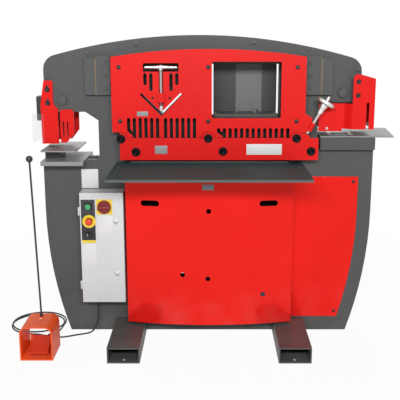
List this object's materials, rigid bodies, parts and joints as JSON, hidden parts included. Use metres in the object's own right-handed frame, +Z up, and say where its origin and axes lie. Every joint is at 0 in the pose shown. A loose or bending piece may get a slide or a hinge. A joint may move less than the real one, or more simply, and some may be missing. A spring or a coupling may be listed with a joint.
{
  "type": "ironworker machine",
  "caption": "Hydraulic ironworker with punch, angle shear, flat-bar shear, tool bay and notcher in a twin-plate arched frame, with feed table, control box and foot switch.",
  "frame": {"origin": "on the floor, at the middle of the four anchor holes in the feet", "axes": "+X to the operator's right, +Y away from the operator, +Z up"},
  "size_m": [1.9475, 0.958, 1.4829],
  "materials": {
    "frame_paint": "semi-gloss dark grey paint",
    "guard_red": "gloss red paint",
    "bright_steel": "ground steel",
    "black_oxide": "black oxide fasteners",
    "bronze": "bronze wear strips",
    "beam_steel": "machined steel plate",
    "clear_sheet": "clear polycarbonate",
    "box_grey": "light grey powder coat",
    "black_plastic": "moulded black plastic",
    "yellow_plate": "yellow backing plates",
    "green_plastic": "moulded green button",
    "red_plastic": "moulded red knob",
    "pedal_orange": "cast shell, orange-red paint",
    "motor_paint": "dark machine enamel",
    "cord_rubber": "black rubber sheath"
  },
  "bodies": {
    "frame": {"front_plate": "frame_paint", "rear_plate": "frame_paint", "plate_spacers": "frame_paint", "feet": "frame_paint", "feed_table": "frame_paint", "punch_table": "frame_paint", "notcher_bolster": "frame_paint", "tool_shelf": "frame_paint", "tool_back_plate": "frame_paint", "rear_cover": "frame_paint", "gib_blocks": "frame_paint", "guard_standoffs": "frame_paint", "frame_bolts": "frame_paint", "front_guard": "guard_red", "punch_guard": "guard_red", "punch_flaps": "guard_red", "notcher_guard": "guard_red", "front_cover": "guard_red", "side_panel": "guard_red", "lower_shear_blade": "bright_steel", "die_plate": "bright_steel", "notcher_plate": "bright_steel", "notcher_die": "bright_steel", "guard_screws": "black_oxide", "holddown_bolts": "black_oxide", "die_holder": "black_oxide", "fixed_angle_blade": "black_oxide", "bronze_gibs": "bronze", "clear_shield": "clear_sheet", "control_box": "box_grey", "cord_gland": "black_plastic", "pedal_pole": "black_plastic", "pedal_guard": "pedal_orange", "cylinder_body": "motor_paint", "oil_tank": "motor_paint", "pump_motor": "motor_paint", "oil_hoses": "cord_rubber", "pedal_cord": "cord_rubber", "cord_loops": "cord_rubber"},
    "beam": {"beam": "beam_steel", "pull_yoke": "beam_steel", "cylinder_rod": "bright_steel", "upper_shear_blade": "bright_steel", "moving_angle_blade": "black_oxide", "punch_ram": "beam_steel", "punch": "bright_steel", "notcher_blade": "bright_steel"},
    "box_door": {"box_door": "box_grey", "switch_plates": "yellow_plate"},
    "angle_pad": {"angle_pad": "bright_steel"},
    "angle_screw": {"angle_screw": "bright_steel"},
    "holddown_bar": {"holddown_bar": "guard_red"},
    "holddown_screw": {"holddown_screw": "bright_steel"},
    "disconnect_knob": {"disconnect_knob": "red_plastic"},
    "start_button": {"start_button": "green_plastic"},
    "stop_button": {"stop_button": "red_plastic"},
    "selector_knob": {"selector_knob": "black_plastic"},
    "upper_latch": {"upper_latch": "bright_steel"},
    "lower_latch": {"lower_latch": "bright_steel"},
    "treadle": {"treadle": "pedal_orange"}
  },
  "joints": [
    {"name": "beam_stroke", "type": "slide", "parent": "frame", "child": "beam", "axis": [0, 0, -1], "range_m": [0, 0.03]},
    {"name": "angle_pad_slide", "type": "slide", "parent": "frame", "child": "angle_pad", "axis": [0, 0, -1], "range_m": [-0.008, 0.008]},
    {"name": "angle_screw_turn", "type": "hinge", "parent": "angle_pad", "child": "angle_screw", "pos_m": [-0.225, -0.15, 1.25], "axis": [0, 0, -1], "range_deg": [-720, 720]},
    {"name": "holddown_slide", "type": "slide", "parent": "frame", "child": "holddown_bar", "axis": [-0.5, 0, -0.866], "range_m": [0, 0.012]},
    {"name": "holddown_screw_turn", "type": "hinge", "parent": "holddown_bar", "child": "holddown_screw", "pos_m": [0.46, -0.15, 1.026], "axis": [-0.5, 0, -0.866], "range_deg": [0, 1080]},
    {"name": "box_door_swing", "type": "hinge", "parent": "frame", "child": "box_door", "pos_m": [-0.628, -0.1683, 0.47], "axis": [0, 0, -1], "range_deg": [0, 110]},
    {"name": "disconnect_turn", "type": "hinge", "parent": "box_door", "child": "disconnect_knob", "pos_m": [-0.505, -0.1683, 0.677], "axis": [0, 1, 0], "range_deg": [0, 90]},
    {"name": "start_press", "type": "slide", "parent": "box_door", "child": "start_button", "axis": [0, 1, 0], "range_m": [0, 0.004], "stiffness_N_per_m": 400},
    {"name": "stop_press", "type": "slide", "parent": "box_door", "child": "stop_button", "axis": [0, 1, 0], "range_m": [0, 0.005], "stiffness_N_per_m": 600},
    {"name": "selector_turn", "type": "hinge", "parent": "box_door", "child": "selector_knob", "pos_m": [-0.586, -0.1683, 0.537], "axis": [0, 1, 0], "range_deg": [-45, 45]},
    {"name": "upper_latch_turn", "type": "hinge", "parent": "box_door", "child": "upper_latch", "pos_m": [-0.451, -0.1683, 0.604], "axis": [0, 1, 0], "range_deg": [0, 90]},
    {"name": "lower_latch_turn", "type": "hinge", "parent": "box_door", "child": "lower_latch", "pos_m": [-0.451, -0.1683, 0.342], "axis": [0, 1, 0], "range_deg": [0, 90]},
    {"name": "treadle_press", "type": "hinge", "parent": "frame", "child": "treadle", "pos_m": [-0.806, -0.266, 0.058], "axis": [1, 0, 0], "range_deg": [0, 6], "stiffness_Nm_per_rad": 10, "springref_deg": -6.88}
  ],
  "couplings": [
    {"joint": "angle_pad_slide", "follows": "angle_screw_turn", "m_per_rad": 0.00063662},
    {"joint": "holddown_slide", "follows": "holddown_screw_turn", "m_per_rad": 0.00063662}
  ]
}
